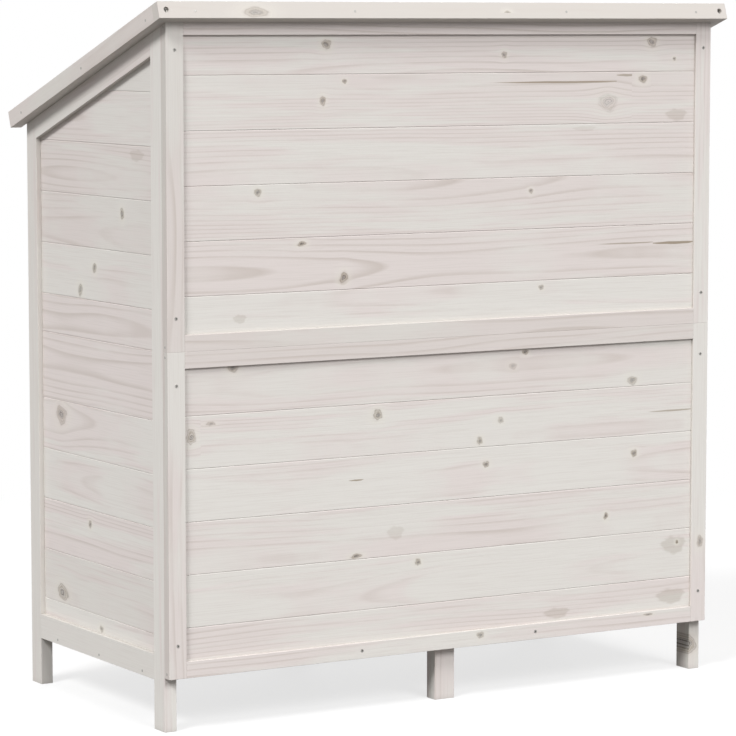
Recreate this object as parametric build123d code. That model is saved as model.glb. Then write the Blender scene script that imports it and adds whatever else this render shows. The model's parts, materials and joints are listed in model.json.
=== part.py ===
from build123d import *
import math
import os

# A low garden shed of whitewashed softwood with a pent roof and two doors, in millimetres.
# X runs along the width, the doors face -Y, the tall back wall faces +Y, and the legs stand on Z = 0.

# Overall form
BODY_WIDTH = 986.0
BODY_DEPTH = 479.0
OVERALL_HEIGHT = 1086.0
ROOF_PITCH = 18.4

# Tongue-and-groove boards, and the rebates that hold them
BOARD_THICK = 9.0
TONGUE_THICK = 3.0
TONGUE_LENGTH = 4.0
TONGUE_FIT = 0.2
SEAM_GAP = 0.2
SEAM_BEVEL = 0.6
NARROWEST_BOARD = 30.0
REBATE = 10.0
BOARD_FIT = 0.5
FRAME_RECESS = 4.0      # from the face of a panel or door frame back to its boards
FRAME_BACK = 3.0        # frame left behind its boards
SIDE_RECESS = 8.0       # from the outside of a post back to the side boards
POST_BACK = 3.0         # post left behind the side boards
FRAME_THICK = FRAME_RECESS + BOARD_THICK + FRAME_BACK
POST_WIDTH = SIDE_RECESS + BOARD_THICK + POST_BACK

# Posts and legs
POST_DEPTH = 34.0
MIDDLE_LEG_WIDTH = 35.5

# Back panels: a lower one, and an upper one on it that runs up to the roof
PANEL_CLEARANCE = 82.0
LOWER_PANEL_HEIGHT = 489.0
STILE_WIDTH = 29.0
RAIL_HEIGHT = 25.0
ROOF_RAIL_HEIGHT = 18.5     # top rail of the upper panel, at its outer face
LOWER_FIRST_SEAM = 75.0
LOWER_COVER = 79.4
UPPER_FIRST_SEAM = 81.0
UPPER_COVER = 81.4

# Side walls
SIDE_CLEARANCE = 75.0
SIDE_RAIL_HEIGHT = 39.0
SLANT_RAIL_HEIGHT = 31.5    # the rail under the roof, square to the slope
SIDE_FIRST_SEAM = 66.0
SIDE_COVER = 80.7
SIDE_SPLIT = 569.0
SIDE_UPPER_SEAM = 61.0

# Floor
BEARER_THICK = 24.0
BEARER_HEIGHT = 36.0
FLOOR_THICK = 12.0
FLOOR_COVER = 86.0

# Roof
FASCIA_HEIGHT = 26.0
FASCIA_THICK = 19.0
BACK_OVERHANG = 18.5
FRONT_OVERHANG = 20.0
DECK_THICK = 9.0
DECK_COVER = 82.0
FELT_THICK = 2.0
PURLIN_WIDTH = 50.0

# Front and doors
HEADER_HEIGHT = 38.0
STOP_THICK = 12.0
STOP_LAP = 12.0
STOP_GRIP = 24.0
DOOR_GAP = 3.0
DOOR_CLEARANCE = 0.5
DOOR_STILE = 40.0
DOOR_RAIL = 36.0
DOOR_COVER = 81.0
MIDDLE_RAIL_DROP = 284.0    # from the top of a door to the middle of its middle rail
KNOB_DROP = 71.0            # from the middle rail down to the knob
KNOB_RADIUS = 14.0
KNOB_LENGTH = 24.0
KNOB_FOOT_RADIUS = 9.0
KNOB_NECK_RADIUS = 6.0
KNOB_FOOT_LENGTH = 4.0
KNOB_HEAD_LENGTH = 13.0
KNOB_EDGE = 4.5

# Hinges
HINGE_LENGTH = 60.0
MIDDLE_KNUCKLE = 20.0
HINGE_INSET = 95.0
LEAF_THICK = 1.5
POST_LEAF = 15.0
DOOR_LEAF = 26.0
KNUCKLE_RADIUS = 3.2
KNUCKLE_STANDOFF = 0.2
KNUCKLE_GAP = 0.3
KNUCKLE_CLEARANCE = 0.4
PIN_RADIUS = 1.6
PIN_CLEARANCE = 0.05
PIN_HEAD_RADIUS = 2.6
PIN_HEAD_LENGTH = 1.8

# Turn-button
LATCH_RISE = 69.0           # from the middle rail up to the pivot
BUTTON_LENGTH = 72.0
BUTTON_WIDTH = 18.0
BUTTON_THICK = 9.0
BUTTON_STANDOFF = 1.5
BUTTON_END_PLAY = 0.2
PIVOT_RADIUS = 2.5
PIVOT_CLEARANCE = 0.05
PIVOT_HEAD_RADIUS = 5.5
PIVOT_HEAD_LENGTH = 2.5
PIVOT_GRIP = 11.0

# Fixings
SCREW_HEAD_RADIUS = 2.6
SCREW_HEAD_LENGTH = 1.6
SCREW_RADIUS = 1.5
SCREW_GRIP = 16.0       # length of a fixing in the second piece it holds
NAIL_HEAD_RADIUS = 1.9
NAIL_HEAD_LENGTH = 1.0
NAIL_RADIUS = 1.0
HEAD_PROUD = 0.3
STILE_SCREW_INSET = 25.0    # from a panel's rail
ROOF_SCREW_INSET = 21.5     # the same, from the rail under the roof
RAIL_SCREW_SPACING = 320.0
SIDE_NAIL_REAR_INSET = 39.0
SIDE_NAIL_FRONT_INSET = 62.0
SIDE_NAIL_RISE = 7.0
ROOF_NAIL_DROP = 4.0        # from the top of a purlin
FASCIA_END_NAIL = 60.0
FASCIA_RIGHT_NAIL = 331.0
FASCIA_LEFT_NAIL = 310.0
SUNK_SCREW_INSET = 6.0      # from the inner face of a rake board
SUNK_DEPTH = 4.0
SUNK_RADIUS = 4.3
HINGE_SCREW_INSET = 8.0     # from the end of a leaf
HINGE_SCREW_GRIP = 10.0

# Places that follow from the sizes
SLOPE = math.radians(ROOF_PITCH)
HALF = BODY_WIDTH / 2
INNER_HALF = HALF - POST_WIDTH
ROOF_DEPTH = BODY_DEPTH + BACK_OVERHANG + FRONT_OVERHANG + FASCIA_HEIGHT * math.sin(SLOPE)
BACK = ROOF_DEPTH / 2 - BACK_OVERHANG
FRONT = BACK - BODY_DEPTH
BACK_INNER = BACK - FRAME_THICK
FRONT_INNER = FRONT + FRAME_THICK + DOOR_CLEARANCE
REAR_POST_FRONT = BACK_INNER - POST_DEPTH
FRONT_POST_BACK = FRONT + POST_DEPTH
PANEL_JOINT = PANEL_CLEARANCE + LOWER_PANEL_HEIGHT
BEARER_TOP = PANEL_CLEARANCE + BEARER_HEIGHT
SIDE_RAIL_TOP = SIDE_CLEARANCE + SIDE_RAIL_HEIGHT
PURLIN_THICK = FASCIA_HEIGHT - DECK_THICK - FELT_THICK
ROOF_LENGTH = (BODY_DEPTH + BACK_OVERHANG + FRONT_OVERHANG) / math.cos(SLOPE)

# The underside of the roof: local X along the width, local Y up the slope, local Z square to it.
ROOF_EDGE_HEIGHT = OVERALL_HEIGHT - FASCIA_HEIGHT * math.cos(SLOPE)
ROOF = Plane(
    origin=(0, BACK + BACK_OVERHANG, ROOF_EDGE_HEIGHT),
    x_dir=(1, 0, 0),
    z_dir=(0, -math.sin(SLOPE), math.cos(SLOPE)),
).location

# Boards laid flat: they run along Y and are set side by side along X, with their faces up.
FLAT = Plane(origin=(0, 0, 0), x_dir=(0, 1, 0), z_dir=(1, 0, 0)).location

SIDES = {"left": -1, "right": 1}
nodes = {}


def block(x, y, z):
    """A box between pairs of limits."""
    centre = Pos((x[0] + x[1]) / 2, (y[0] + y[1]) / 2, (z[0] + z[1]) / 2)
    return centre * Box(x[1] - x[0], y[1] - y[0], z[1] - z[0])


def span(side, near, far):
    """Limits along X of a piece on the given side, measured from the middle of the shed."""
    return tuple(sorted((side * near, side * far)))


def prism(outline, x):
    """An outline of (y, z) points drawn out along X."""
    face = Plane.YZ.location * make_face(Polyline(*outline, close=True))
    return Pos(x[0], 0, 0) * extrude(face, x[1] - x[0])


def roof_height(y):
    """Height of the underside of the roof at a place along Y."""
    return ROOF_EDGE_HEIGHT - (BACK + BACK_OVERHANG - y) * math.tan(SLOPE)


def below_roof(piece, drop=0.0):
    """Cuts off what stands above the underside of the roof, or above a line that far below it."""
    reach = 2 * (BODY_WIDTH + BODY_DEPTH + OVERALL_HEIGHT)
    return piece - ROOF * block((-reach, reach), (-reach, reach), (-drop, reach))


def solids(*pieces):
    """All the solids of some pieces, as one list."""
    return [solid for piece in pieces for solid in piece.solids()]


def tongue_board(length, thick, low, high, grooved, tongued):
    """A board along X with its face at Y = 0, a groove along the low edge and a tongue on the high one."""
    middle = -thick / 2
    half_tongue = TONGUE_THICK / 2
    half_groove = half_tongue + TONGUE_FIT
    outline = [(0, low + SEAM_BEVEL), (0, high - SEAM_BEVEL), (-SEAM_BEVEL, high)]
    if tongued:
        tip = high + TONGUE_LENGTH
        outline += [(middle + half_tongue, high), (middle + half_tongue, tip)]
        outline += [(middle - half_tongue, tip), (middle - half_tongue, high)]
    outline += [(-thick, high), (-thick, low)]
    if grooved:
        floor = low + TONGUE_LENGTH + TONGUE_FIT
        outline += [(middle - half_groove, low), (middle - half_groove, floor)]
        outline += [(middle + half_groove, floor), (middle + half_groove, low)]
    outline += [(-SEAM_BEVEL, low)]
    return prism(outline, (-length / 2, length / 2))


def seams(first, cover, top):
    """Heights of the seams from the first one up, a board's cover apart."""
    count = max(0, math.ceil((top - NARROWEST_BOARD - first) / cover))
    return [first + k * cover for k in range(count)]


def boarding(length, thick, edges):
    """Boards side by side between the given edges, tongued into each other."""
    last = len(edges) - 2
    boards = []
    for k in range(last + 1):
        low = edges[k] + (SEAM_GAP / 2 if k > 0 else 0)
        high = edges[k + 1] - (SEAM_GAP / 2 if k < last else 0)
        boards.append(tongue_board(length, thick, low, high, k > 0, k < last))
    return boards


def even_boarding(length, thick, width, cover):
    """Boards that fill a width about its middle, with the cut ones shared between both edges."""
    first = width / 2 - cover * math.floor(width / cover / 2 + 0.5)
    first += cover if first < NARROWEST_BOARD else 0
    start = -width / 2
    edges = [start, *(start + s for s in seams(first, cover, width)), width / 2]
    return boarding(length, thick, edges)


def back_panel(name, first_seam, cover):
    """A framed panel of the back wall: stiles at full height, rails between them, boards in the rebate."""
    low, high, top_rail, _ = PANELS[name]
    deep = (BACK_INNER, BACK)
    reach = HALF - STILE_WIDTH + REBATE
    pocket_z = (low + RAIL_HEIGHT - REBATE, high - top_rail + REBATE)
    pocket = block((-reach, reach), (BACK_INNER, BACK - FRAME_RECESS), pocket_z)
    between = (-HALF + STILE_WIDTH, HALF - STILE_WIDTH)
    for side_name, side in SIDES.items():
        stile = block(span(side, HALF - STILE_WIDTH, HALF), deep, (low, high))
        nodes[f"{name}_{side_name}_stile"] = solids(below_roof(stile) - pocket)
    bottom = block(between, deep, (low, low + RAIL_HEIGHT)) - pocket
    top = block(between, deep, (high - top_rail, high)) - pocket
    nodes[f"{name}_bottom_rail"] = solids(bottom)
    nodes[f"{name}_top_rail"] = solids(below_roof(top))
    edge_low = pocket_z[0] + BOARD_FIT
    edge_high = pocket_z[1] - BOARD_FIT
    edges = [edge_low, *seams(low + first_seam, cover, edge_high), edge_high]
    place = Pos(0, BACK - FRAME_RECESS, 0)
    boards = boarding(2 * (reach - BOARD_FIT), BOARD_THICK, edges)
    nodes[f"{name}_boards"] = solids(*(below_roof(place * board) for board in boards))


def side_wall(side_name, side):
    """The posts of one side, with rails and boards between them under the slope of the roof."""
    thick = span(side, INNER_HALF, HALF)
    covered = (SLANT_RAIL_HEIGHT - REBATE) / math.cos(SLOPE)
    front = FRONT_POST_BACK - REBATE
    rear = REAR_POST_FRONT + REBATE
    foot = SIDE_RAIL_TOP - REBATE
    outline = [(front, foot), (rear, foot)]
    outline += [(rear, roof_height(rear) - covered), (front, roof_height(front) - covered)]
    pocket = prism(outline, span(side, INNER_HALF, HALF - SIDE_RECESS))

    rear_post = block(thick, (REAR_POST_FRONT, BACK_INNER), (0, OVERALL_HEIGHT))
    front_post = block(thick, (FRONT, FRONT_POST_BACK), (0, OVERALL_HEIGHT))
    nodes[f"rear_{side_name}_post"] = solids(below_roof(rear_post) - pocket)
    nodes[f"front_{side_name}_post"] = solids(below_roof(front_post) - pocket)

    between = (FRONT_POST_BACK, REAR_POST_FRONT)
    bottom = block(thick, between, (SIDE_CLEARANCE, SIDE_RAIL_TOP))
    drop = SLANT_RAIL_HEIGHT / math.cos(SLOPE)
    slant = [(y, roof_height(y) - drop) for y in between]
    slant += [(y, roof_height(y)) for y in reversed(between)]
    nodes[f"{side_name}_side_bottom_rail"] = solids(bottom - pocket)
    nodes[f"{side_name}_side_top_rail"] = solids(prism(slant, thick) - pocket)

    top = roof_height(rear) - covered
    lower = seams(SIDE_CLEARANCE + SIDE_FIRST_SEAM, SIDE_COVER, SIDE_SPLIT)
    upper = seams(SIDE_SPLIT + SIDE_UPPER_SEAM, SIDE_COVER, top)
    boards = boarding(
        rear - front - 2 * BOARD_FIT,
        BOARD_THICK,
        [foot + BOARD_FIT, *lower, SIDE_SPLIT, *upper, top],
    )
    place = Pos(side * (HALF - SIDE_RECESS), (front + rear) / 2, 0) * Rot(0, 0, -90 * side)
    clear = SLANT_RAIL_HEIGHT - REBATE + BOARD_FIT * math.cos(SLOPE)
    trimmed = [below_roof(place * board, clear) for board in boards]
    nodes[f"{side_name}_side_boards"] = solids(*trimmed)


def floor():
    """Bearers between the posts, a leg under the middle of the two long ones, and boards on top."""
    width = (-INNER_HALF, INNER_HALF)
    rear = (BACK_INNER - BEARER_THICK, BACK_INNER)
    front = (FRONT_INNER, FRONT_INNER + BEARER_THICK)
    lift = (PANEL_CLEARANCE, BEARER_TOP)
    leg_width = (-MIDDLE_LEG_WIDTH / 2, MIDDLE_LEG_WIDTH / 2)
    nodes["rear_middle_leg"] = solids(block(leg_width, rear, (0, PANEL_CLEARANCE)))
    nodes["front_middle_leg"] = solids(block(leg_width, front, (0, PANEL_CLEARANCE)))
    nodes["long_floor_bearers"] = solids(block(width, rear, lift), block(width, front, lift))
    across = (front[1], rear[0])
    cross = [block((-BEARER_THICK / 2, BEARER_THICK / 2), across, lift)]
    for side in SIDES.values():
        place = span(side, INNER_HALF - BEARER_THICK, INNER_HALF)
        cross.append(block(place, across, (SIDE_CLEARANCE, BEARER_TOP)))
    nodes["cross_floor_bearers"] = solids(*cross)
    middle = Pos(0, (FRONT_INNER + BACK_INNER) / 2, BEARER_TOP + FLOOR_THICK)
    width = 2 * (INNER_HALF - BOARD_FIT)
    boards = even_boarding(BACK_INNER - FRONT_INNER, FLOOR_THICK, width, FLOOR_COVER)
    nodes["floor_boards"] = solids(*(middle * FLAT * board for board in boards))


def purlins():
    """Places up the slope of the rear, middle and front purlin, each the middle of its width."""
    rear = -FASCIA_THICK - PURLIN_WIDTH / 2
    front = -(BODY_DEPTH + BACK_OVERHANG) / math.cos(SLOPE) + PURLIN_WIDTH / 2
    return [rear, (rear + front) / 2, front]


def roof():
    """Purlins on the walls, deck boards down the slope, felt, and a frame of rake and fascia boards."""
    edge = HALF + FASCIA_THICK
    full = (0, FASCIA_HEIGHT)
    inner = -FASCIA_THICK
    nodes["rear_fascia_board"] = solids(ROOF * block((-edge, edge), (inner, 0), full))
    for side_name, side in SIDES.items():
        rake = block(span(side, HALF, edge), (-ROOF_LENGTH, inner), full)
        nodes[f"{side_name}_rake_board"] = solids(ROOF * rake)
    width = (-HALF, HALF)
    bars = []
    for at in purlins():
        place = (at - PURLIN_WIDTH / 2, at + PURLIN_WIDTH / 2)
        bars.append(ROOF * block(width, place, (0, PURLIN_THICK)))
    nodes["roof_purlins"] = solids(*bars)

    drip = -ROOF_LENGTH + FELT_THICK
    deck_top = FASCIA_HEIGHT - FELT_THICK
    middle = ROOF * Pos(0, (drip + inner) / 2, deck_top) * FLAT
    boards = even_boarding(inner - drip, DECK_THICK, BODY_WIDTH, DECK_COVER)
    nodes["roof_deck_boards"] = solids(*(middle * board for board in boards))
    sheet = block(width, (-ROOF_LENGTH, inner), (deck_top, FASCIA_HEIGHT))
    turned_down = block(width, (-ROOF_LENGTH, drip), (PURLIN_THICK, deck_top))
    nodes["roof_felt"] = solids(ROOF * (sheet + turned_down))


def front_frame():
    """Header and sill between the front posts, and the strip that the doors close against."""
    width = (-INNER_HALF, INNER_HALF)
    deep = (FRONT, FRONT_INNER)
    low = header_bottom()
    nodes["front_sill"] = solids(block(width, deep, (SIDE_CLEARANCE, SIDE_RAIL_TOP)))
    nodes["front_header"] = solids(below_roof(block(width, deep, (low, OVERALL_HEIGHT))))
    strip = block(width, (FRONT_INNER, FRONT_INNER + STOP_THICK), (low - STOP_LAP, low + STOP_GRIP))
    nodes["door_stop"] = solids(below_roof(strip))


def header_bottom():
    """Height of the underside of the header over the doors."""
    return roof_height(FRONT) - HEADER_HEIGHT


def middle_rail():
    """Height of the middle of the doors' middle rails."""
    return header_bottom() - DOOR_GAP - MIDDLE_RAIL_DROP


def door(side_name, side):
    """A framed door with a middle rail and two fields of boards, and a turned knob on its meeting stile."""
    name = f"{side_name}_door"
    near = DOOR_GAP / 2
    far = INNER_HALF - DOOR_GAP
    low = SIDE_RAIL_TOP + DOOR_GAP
    high = header_bottom() - DOOR_GAP
    deep = (FRONT, FRONT + FRAME_THICK)
    stiles = {"meeting": (near, near + DOOR_STILE), "hinge": (far - DOOR_STILE, far)}
    rails = {
        "bottom": (low, low + DOOR_RAIL),
        "middle": (middle_rail() - DOOR_RAIL / 2, middle_rail() + DOOR_RAIL / 2),
        "top": (high - DOOR_RAIL, high),
    }
    field_x = (near + DOOR_STILE - REBATE, far - DOOR_STILE + REBATE)
    fields = [(rails["bottom"][1] - REBATE, rails["middle"][0] + REBATE)]
    fields += [(rails["middle"][1] - REBATE, rails["top"][0] + REBATE)]
    pocket_y = (FRONT + FRAME_RECESS, FRONT + FRAME_THICK)
    pockets = [block(span(side, *field_x), pocket_y, field) for field in fields]
    for part, x in stiles.items():
        stile = block(span(side, *x), deep, (low, high))
        nodes[f"{name}_{part}_stile"] = solids(stile - pockets)
    between = span(side, near + DOOR_STILE, far - DOOR_STILE)
    for part, z in rails.items():
        nodes[f"{name}_{part}_rail"] = solids(block(between, deep, z) - pockets)

    middle = side * (field_x[0] + field_x[1]) / 2
    place = Pos(middle, FRONT + FRAME_RECESS, 0) * Rot(0, 0, 180)
    length = field_x[1] - field_x[0] - 2 * BOARD_FIT
    boards = []
    for field_low, field_high in fields:
        bottom = field_low + BOARD_FIT
        top = field_high - BOARD_FIT
        edges = [bottom, *seams(bottom + DOOR_COVER, DOOR_COVER, top), top]
        boards += boarding(length, BOARD_THICK, edges)
    nodes[f"{name}_boards"] = solids(*(place * board for board in boards))
    place = Pos(meeting_middle(side), FRONT, middle_rail() - KNOB_DROP)
    nodes[f"{name}_knob"] = solids(place * knob())


def meeting_middle(side):
    """Place along X of the middle of a door's meeting stile."""
    return side * (DOOR_GAP + DOOR_STILE) / 2


def knob():
    """A turned knob with a round foot, a neck and a rounded head, standing out along -Y."""
    shoulder = KNOB_LENGTH - KNOB_HEAD_LENGTH
    outline = Polyline(
        (0, 0),
        (KNOB_FOOT_RADIUS, 0),
        (KNOB_FOOT_RADIUS, KNOB_FOOT_LENGTH),
        (KNOB_NECK_RADIUS, shoulder),
        (KNOB_RADIUS, shoulder),
        (KNOB_RADIUS, KNOB_LENGTH),
        (0, KNOB_LENGTH),
        close=True,
    )
    turned = revolve(Plane.XZ.location * make_face(outline), Axis.Z)
    rims = [e for e in turned.edges().filter_by(GeomType.CIRCLE) if e.radius > KNOB_FOOT_RADIUS]
    return Rot(90, 0, 0) * fillet(rims, KNOB_EDGE)


def hinges():
    """Two surface hinges a door: leaves on post and door, knuckles in turn on the pin, and the screws."""
    post_leaves = []
    pins = []
    post_screws = []
    door_low = SIDE_RAIL_TOP + DOOR_GAP
    door_high = header_bottom() - DOOR_GAP
    end = HINGE_LENGTH / 2
    split = MIDDLE_KNUCKLE / 2
    for side_name, side in SIDES.items():
        axis = side * (INNER_HALF - DOOR_GAP / 2)
        at_post = side * (INNER_HALF + POST_LEAF / 2)
        at_door = side * (INNER_HALF - DOOR_GAP - DOOR_LEAF / 2)
        door_leaves = []
        door_screws = []
        side_screws = []
        for height in (door_low + HINGE_INSET, door_high - HINGE_INSET):
            place = Pos(axis, FRONT - KNUCKLE_RADIUS - KNUCKLE_STANDOFF, height)
            outer = [(split, end), (-end, -split)]
            inner = [(-split + KNUCKLE_GAP, split - KNUCKLE_GAP)]
            post_leaf = place * leaf(side, POST_LEAF + DOOR_GAP / 2, outer, inner)
            door_leaf = place * leaf(-side, DOOR_LEAF + DOOR_GAP / 2, inner, outer)
            in_post = hinge_screws(at_post, height)
            in_door = hinge_screws(at_door, height)
            post_leaves.append(post_leaf - in_post)
            door_leaves.append(door_leaf - in_door)
            pins.append(place * hinge_pin())
            side_screws += in_post
            door_screws += in_door
        cut(f"front_{side_name}_post", side_screws)
        cut(f"{side_name}_door_hinge_stile", door_screws)
        post_screws += side_screws
        nodes[f"{side_name}_door_hinge_leaves"] = solids(*door_leaves)
        nodes[f"{side_name}_door_hinge_screws"] = solids(*door_screws)
    nodes["hinge_post_leaves"] = solids(*post_leaves)
    nodes["hinge_pins"] = solids(*pins)
    nodes["hinge_post_screws"] = solids(*post_screws)


def hinge_screws(x, height):
    """The two screws of a hinge leaf, one near each end, with their heads on the leaf."""
    reach = HINGE_LENGTH / 2 - HINGE_SCREW_INSET
    length = LEAF_THICK + HINGE_SCREW_GRIP
    made = fixing(SCREW_HEAD_RADIUS, SCREW_HEAD_LENGTH, SCREW_RADIUS, length, SCREW_HEAD_LENGTH)
    return [Pos(x, FRONT - LEAF_THICK, height + rise) * Rot(90, 0, 0) * made for rise in (-reach, reach)]


def leaf(side, reach, own, others):
    """A hinge leaf with its own knuckles, cut back where the other leaf's knuckles turn."""
    back = KNUCKLE_RADIUS + KNUCKLE_STANDOFF
    plate_y = (back - LEAF_THICK, back)
    tall = (-HINGE_LENGTH / 2, HINGE_LENGTH / 2)
    plate = block(span(side, 0, reach), plate_y, tall)
    for low, high in others:
        room = KNUCKLE_RADIUS + KNUCKLE_CLEARANCE
        notch_z = (low - 2 * KNUCKLE_GAP, high + 2 * KNUCKLE_GAP)
        plate -= block((-room, room), plate_y, notch_z)
    for low, high in own:
        plate += Pos(0, 0, (low + high) / 2) * Cylinder(KNUCKLE_RADIUS, high - low)
    return plate - Cylinder(PIN_RADIUS + PIN_CLEARANCE, 2 * HINGE_LENGTH)


def hinge_pin():
    """A pin through the knuckles with a head at each end."""
    pin = Cylinder(PIN_RADIUS, HINGE_LENGTH)
    for end in (-1, 1):
        middle = end * (HINGE_LENGTH + PIN_HEAD_LENGTH) / 2
        pin += Pos(0, 0, middle) * Cylinder(PIN_HEAD_RADIUS, PIN_HEAD_LENGTH)
    return pin


def latch():
    """A turn-button that hangs upright when free, on a shouldered screw in the right door."""
    x = meeting_middle(SIDES["right"])
    place = Pos(x, FRONT, middle_rail() + LATCH_RISE) * Rot(90, 0, 0)
    top = BUTTON_STANDOFF + BUTTON_END_PLAY + BUTTON_THICK + BUTTON_END_PLAY
    low = BUTTON_STANDOFF + BUTTON_END_PLAY
    pivot = Pos(0, 0, (top - PIVOT_GRIP) / 2) * Cylinder(PIVOT_RADIUS, top + PIVOT_GRIP)
    pivot += Pos(0, 0, BUTTON_STANDOFF / 2) * Cylinder(PIVOT_HEAD_RADIUS, BUTTON_STANDOFF)
    pivot += Pos(0, 0, top + PIVOT_HEAD_LENGTH / 2) * Cylinder(PIVOT_HEAD_RADIUS, PIVOT_HEAD_LENGTH)
    bar = extrude(SlotOverall(BUTTON_LENGTH, BUTTON_WIDTH, rotation=90), BUTTON_THICK)
    bar = Pos(0, 0, low) * bar
    bar -= Cylinder(PIVOT_RADIUS + PIVOT_CLEARANCE, 2 * (top + PIVOT_GRIP))
    nodes["latch_button"] = solids(place * bar)
    nodes["latch_pivot"] = solids(place * pivot)
    cut("right_door_meeting_stile", [place * pivot])


def fixing(head_radius, head_length, radius, length, proud):
    """A nail or screw that points along -Z, with its head standing proud of Z = 0."""
    head = Pos(0, 0, proud - head_length / 2) * Cylinder(head_radius, head_length)
    tip = -length
    shank = Pos(0, 0, (proud + tip) / 2) * Cylinder(radius, proud - tip)
    return head + shank


def screw(through):
    """A screw through a piece of that thickness into the one behind it."""
    return fixing(SCREW_HEAD_RADIUS, SCREW_HEAD_LENGTH, SCREW_RADIUS, through + SCREW_GRIP, HEAD_PROUD)


def nail(through):
    """A nail through a piece of that thickness into the one behind it."""
    return fixing(NAIL_HEAD_RADIUS, NAIL_HEAD_LENGTH, NAIL_RADIUS, through + SCREW_GRIP, HEAD_PROUD)


def cut(name, tools):
    """Cuts the holes for some fixings in every solid of a node."""
    nodes[name] = solids(*(solid - tools for solid in nodes[name]))


def back_fixings():
    """Screws through the back stiles into the posts and through the bottom rail into the floor."""
    out = Rot(-90, 0, 0)
    through = FRAME_THICK
    screws = []
    nails = []
    for name, (low, high, top_rail, top_inset) in PANELS.items():
        whole_low = low + (RAIL_HEIGHT - REBATE) / 2
        whole_high = (high - top_rail + REBATE + min(high, roof_height(BACK_INNER))) / 2
        for side_name, side in SIDES.items():
            stile = f"{name}_{side_name}_stile"
            x = side * (HALF - STILE_WIDTH / 2)
            heights = (low + RAIL_HEIGHT + STILE_SCREW_INSET, high - top_rail - top_inset)
            held = [Pos(x, BACK, z) * out * screw(through) for z in heights]
            cut(stile, held)
            cut(f"rear_{side_name}_post", held)
            screws += held
            for rail, z in (("bottom", whole_low), ("top", whole_high)):
                spot = Pos(side * HALF, BACK - FRAME_THICK / 2, z) * Rot(0, 90 * side, 0)
                pin = spot * nail(STILE_WIDTH)
                cut(stile, [pin])
                cut(f"{name}_{rail}_rail", [pin])
                nails.append(pin)
    reach = RAIL_SCREW_SPACING / 2
    middle = PANEL_CLEARANCE + RAIL_HEIGHT / 2
    held = [Pos(x, BACK, middle) * out * screw(through) for x in (-reach, reach)]
    for name in ("lower_rear_bottom_rail", "lower_rear_boards", "long_floor_bearers"):
        cut(name, held)
    return screws + held, nails


def side_fixings():
    """Nails through the bottom rail of each side into the floor bearer behind it."""
    nails = []
    rear = REAR_POST_FRONT - SIDE_NAIL_REAR_INSET
    front = FRONT_POST_BACK + SIDE_NAIL_FRONT_INSET
    for side_name, side in SIDES.items():
        held = []
        for y in (rear, (rear + front) / 2, front):
            spot = Pos(side * HALF, y, SIDE_CLEARANCE + SIDE_NAIL_RISE) * Rot(0, 90 * side, 0)
            held.append(spot * nail(POST_WIDTH))
        cut(f"{side_name}_side_bottom_rail", held)
        cut("cross_floor_bearers", held)
        nails += held
    return nails


def roof_fixings():
    """Nails into the purlins through the rake and fascia boards, and a sunk screw at each fascia end."""
    edge = HALF + FASCIA_THICK
    rise = PURLIN_THICK - ROOF_NAIL_DROP
    nails = []
    screws = []
    for side_name, side in SIDES.items():
        spots = [Pos(side * edge, at, rise) * Rot(0, 90 * side, 0) for at in purlins()]
        held = [ROOF * spot * nail(FASCIA_THICK) for spot in spots]
        cut(f"{side_name}_rake_board", held)
        cut("roof_purlins", held)
        nails += held
        x = side * (HALF + SUNK_SCREW_INSET)
        spot = ROOF * Pos(x, 0, FASCIA_HEIGHT / 2) * Rot(-90, 0, 0)
        hole = spot * Pos(0, 0, -SUNK_DEPTH / 2) * Cylinder(SUNK_RADIUS, SUNK_DEPTH)
        sunk = spot * Pos(0, 0, -SUNK_DEPTH) * fixing(
            SUNK_RADIUS, SCREW_HEAD_LENGTH, SCREW_RADIUS, FASCIA_THICK + SCREW_GRIP, 0)
        cut("rear_fascia_board", [hole, sunk])
        cut(f"{side_name}_rake_board", [sunk])
        screws.append(sunk)
    places = (edge - FASCIA_END_NAIL, edge - FASCIA_RIGHT_NAIL,
              FASCIA_LEFT_NAIL - edge, FASCIA_END_NAIL - edge)
    held = []
    for x in places:
        held.append(ROOF * Pos(x, 0, rise) * Rot(-90, 0, 0) * nail(FASCIA_THICK))
    cut("rear_fascia_board", held)
    cut("roof_purlins", held)
    return screws, nails + held


def fixings():
    """All the fixings of the walls and the roof, as a node of screws and a node of nails."""
    back_screws, back_nails = back_fixings()
    roof_screws, roof_nails = roof_fixings()
    nodes["panel_screws"] = solids(*back_screws, *roof_screws)
    nodes["frame_nails"] = solids(*back_nails, *side_fixings(), *roof_nails)


# Back panels: lower and upper edge, height of the top rail, and how far below it the top screws sit
PANELS = {
    "lower_rear": (PANEL_CLEARANCE, PANEL_JOINT, RAIL_HEIGHT, STILE_SCREW_INSET),
    "upper_rear": (PANEL_JOINT, roof_height(BACK), ROOF_RAIL_HEIGHT, ROOF_SCREW_INSET),
}
back_panel("lower_rear", LOWER_FIRST_SEAM, LOWER_COVER)
back_panel("upper_rear", UPPER_FIRST_SEAM, UPPER_COVER)
for side_name, side in SIDES.items():
    side_wall(side_name, side)
    door(side_name, side)
floor()
roof()
front_frame()
hinges()
latch()
fixings()

os.makedirs("parts", exist_ok=True)
for name, pieces in nodes.items():
    whole = pieces[0] if len(pieces) == 1 else Compound(children=pieces)
    export_step(whole, f"parts/{name}.step")
print(len(nodes), "nodes,", sum(len(pieces) for pieces in nodes.values()), "solids")
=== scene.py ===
import json
import math
import random

import bmesh
import bpy
from mathutils import Matrix, Quaternion, Vector

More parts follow.
